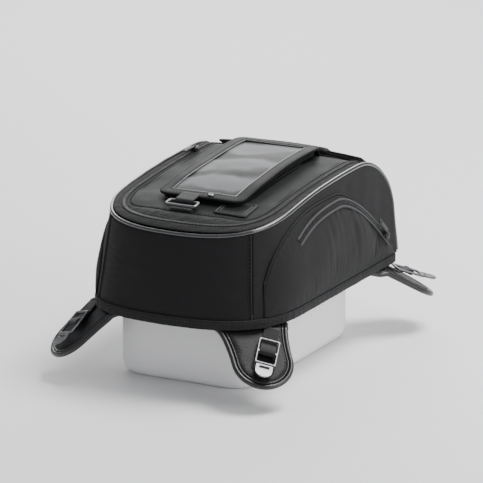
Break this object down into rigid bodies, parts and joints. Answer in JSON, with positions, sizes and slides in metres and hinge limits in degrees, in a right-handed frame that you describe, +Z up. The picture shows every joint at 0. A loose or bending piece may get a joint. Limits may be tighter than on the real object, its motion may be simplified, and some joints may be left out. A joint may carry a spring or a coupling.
{
  "type": "motorcycle tank bag",
  "caption": "Strap-mounted fabric tank bag with a zipped lid, a clear phone pocket, zipped side pockets, a grab handle and padded wings with steel buckles.",
  "frame": {"origin": "centre of the base's underside, where the bag sits on the tank", "axes": "+Z up from the tank, +Y towards the front of the motorcycle, +X to the rider's right"},
  "size_m": [0.2738, 0.347, 0.1677],
  "materials": {
    "mat": "ribbed, matte",
    "lining": "plain weave",
    "binding": "woven tape, folded over the seam",
    "rear_fabric": "fine weave, matte",
    "side_fabric": "fine weave, matte",
    "pocket_fabric": "fine weave, softly wrinkled",
    "piping": "smooth with a soft gloss",
    "zip": "woven tape with moulded teeth",
    "zip_metal": "black lacquer",
    "rim_fabric": "mottled weave",
    "lid_skin": "smooth synthetic leather",
    "flap_skin": "smooth synthetic leather",
    "film": "clear film",
    "webbing": "flat webbing",
    "grip": "soft grip",
    "steel": "polished",
    "wing_skin": "padded synthetic leather"
  },
  "bodies": {
    "shell": {"base_binding": "binding", "base_board": "lining", "front_panel": "side_fabric", "handle_anchor_left": "webbing", "handle_anchor_right": "webbing", "main_zip_fixed_half": "zip", "non_slip_mat": "mat", "pocket_panel_left": "pocket_fabric", "pocket_panel_right": "pocket_fabric", "pocket_zip_left": "zip", "pocket_zip_left_slider": "zip_metal", "pocket_zip_right": "zip", "pocket_zip_right_slider": "zip_metal", "rear_panel": "rear_fabric", "side_panel_left": "side_fabric", "side_panel_right": "side_fabric", "top_piping": "piping", "top_rim": "side_fabric"},
    "lid": {"main_zip_lid_half": "zip", "lid_rim": "rim_fabric", "lid_panel": "lid_skin", "lid_patch": "lid_skin", "flap_catch_strap": "webbing", "main_zip_slider": "zip_metal"},
    "phone_flap": {"flap_frame": "flap_skin", "flap_window": "film", "flap_back": "flap_skin", "flap_rivet": "steel", "flap_tab": "webbing"},
    "flap_ring": {"flap_ring": "steel"},
    "main_zip_puller": {"main_zip_puller": "zip_metal"},
    "pocket_zip_right_puller": {"pocket_zip_right_puller": "zip_metal"},
    "pocket_zip_left_puller": {"pocket_zip_left_puller": "zip_metal"},
    "handle": {"handle_strap": "webbing", "handle_grip": "grip"},
    "wing_rear_right": {"wing_pad_rear_right": "wing_skin", "wing_strap_rear_right": "webbing"},
    "buckle_rear_right": {"wing_buckle_rear_right": "steel", "buckle_hook_rear_right": "steel"},
    "wing_rear_left": {"wing_pad_rear_left": "wing_skin", "wing_strap_rear_left": "webbing"},
    "buckle_rear_left": {"wing_buckle_rear_left": "steel", "buckle_hook_rear_left": "steel"},
    "wing_front_right": {"wing_pad_front_right": "wing_skin", "wing_strap_front_right": "webbing"},
    "buckle_front_right": {"wing_buckle_front_right": "steel", "buckle_hook_front_right": "steel"},
    "wing_front_left": {"wing_pad_front_left": "wing_skin", "wing_strap_front_left": "webbing"},
    "buckle_front_left": {"wing_buckle_front_left": "steel", "buckle_hook_front_left": "steel"}
  },
  "joints": [
    {"name": "lid_fold", "type": "hinge", "parent": "shell", "child": "lid", "pos_m": [0, 0.103, 0.10884], "axis": [-1, 0, 0], "range_deg": [0, 65]},
    {"name": "phone_flap_fold", "type": "hinge", "parent": "lid", "child": "phone_flap", "pos_m": [0, 0.096, 0.1119], "axis": [-1, 0, 0], "range_deg": [0, 68]},
    {"name": "flap_ring_swing", "type": "hinge", "parent": "phone_flap", "child": "flap_ring", "pos_m": [-0.0085, -0.086, 0.10322], "axis": [-1, 0, 0], "range_deg": [0, 110]},
    {"name": "main_zip_puller_swing", "type": "hinge", "parent": "lid", "child": "main_zip_puller", "pos_m": [-0.07713, 0.06102, 0.11446], "axis": [-0.9992, 0, -0.0397], "range_deg": [0, 120]},
    {"name": "pocket_zip_puller_swing_right", "type": "hinge", "parent": "shell", "child": "pocket_zip_right_puller", "pos_m": [0.10928, 0.11143, 0.03792], "axis": [-0.3578, 0.6661, 0.6545], "range_deg": [0, 120]},
    {"name": "pocket_zip_puller_swing_left", "type": "hinge", "parent": "shell", "child": "pocket_zip_left_puller", "pos_m": [-0.10928, 0.11143, 0.03792], "axis": [-0.3578, -0.6661, -0.6545], "range_deg": [0, 120]},
    {"name": "handle_swing", "type": "hinge", "parent": "shell", "child": "handle", "pos_m": [0, 0.121, 0.10275], "axis": [-1, 0, 0], "range_deg": [-8, 8]},
    {"name": "wing_bend_rear_right", "type": "hinge", "parent": "shell", "child": "wing_rear_right", "pos_m": [0.082, -0.119, 0], "axis": [-0.7071, -0.7071, 0], "range_deg": [-38, 28]},
    {"name": "buckle_swing_rear_right", "type": "hinge", "parent": "wing_rear_right", "child": "buckle_rear_right", "pos_m": [0.09979, -0.12186, -0.00841], "axis": [-0.8663, -0.4257, 0.2614], "range_deg": [0, 85]},
    {"name": "wing_bend_rear_left", "type": "hinge", "parent": "shell", "child": "wing_rear_left", "pos_m": [-0.082, -0.119, 0], "axis": [-0.7071, 0.7071, 0], "range_deg": [-38, 28]},
    {"name": "buckle_swing_rear_left", "type": "hinge", "parent": "wing_rear_left", "child": "buckle_rear_left", "pos_m": [-0.09979, -0.12186, -0.00841], "axis": [-0.8663, 0.4257, -0.2614], "range_deg": [0, 85]},
    {"name": "wing_bend_front_right", "type": "hinge", "parent": "shell", "child": "wing_front_right", "pos_m": [0.088, 0.134, 0], "axis": [0.7071, -0.7071, 0], "range_deg": [-45, 18]},
    {"name": "buckle_swing_front_right", "type": "hinge", "parent": "wing_front_right", "child": "buckle_front_right", "pos_m": [0.1001, 0.1461, -0.00631], "axis": [0.7071, -0.7071, 0], "range_deg": [0, 70]},
    {"name": "wing_bend_front_left", "type": "hinge", "parent": "shell", "child": "wing_front_left", "pos_m": [-0.088, 0.134, 0], "axis": [0.7071, 0.7071, 0], "range_deg": [-45, 18]},
    {"name": "buckle_swing_front_left", "type": "hinge", "parent": "wing_front_left", "child": "buckle_front_left", "pos_m": [-0.1001, 0.1461, -0.00631], "axis": [0.7071, 0.7071, 0], "range_deg": [0, 70]}
  ]
}
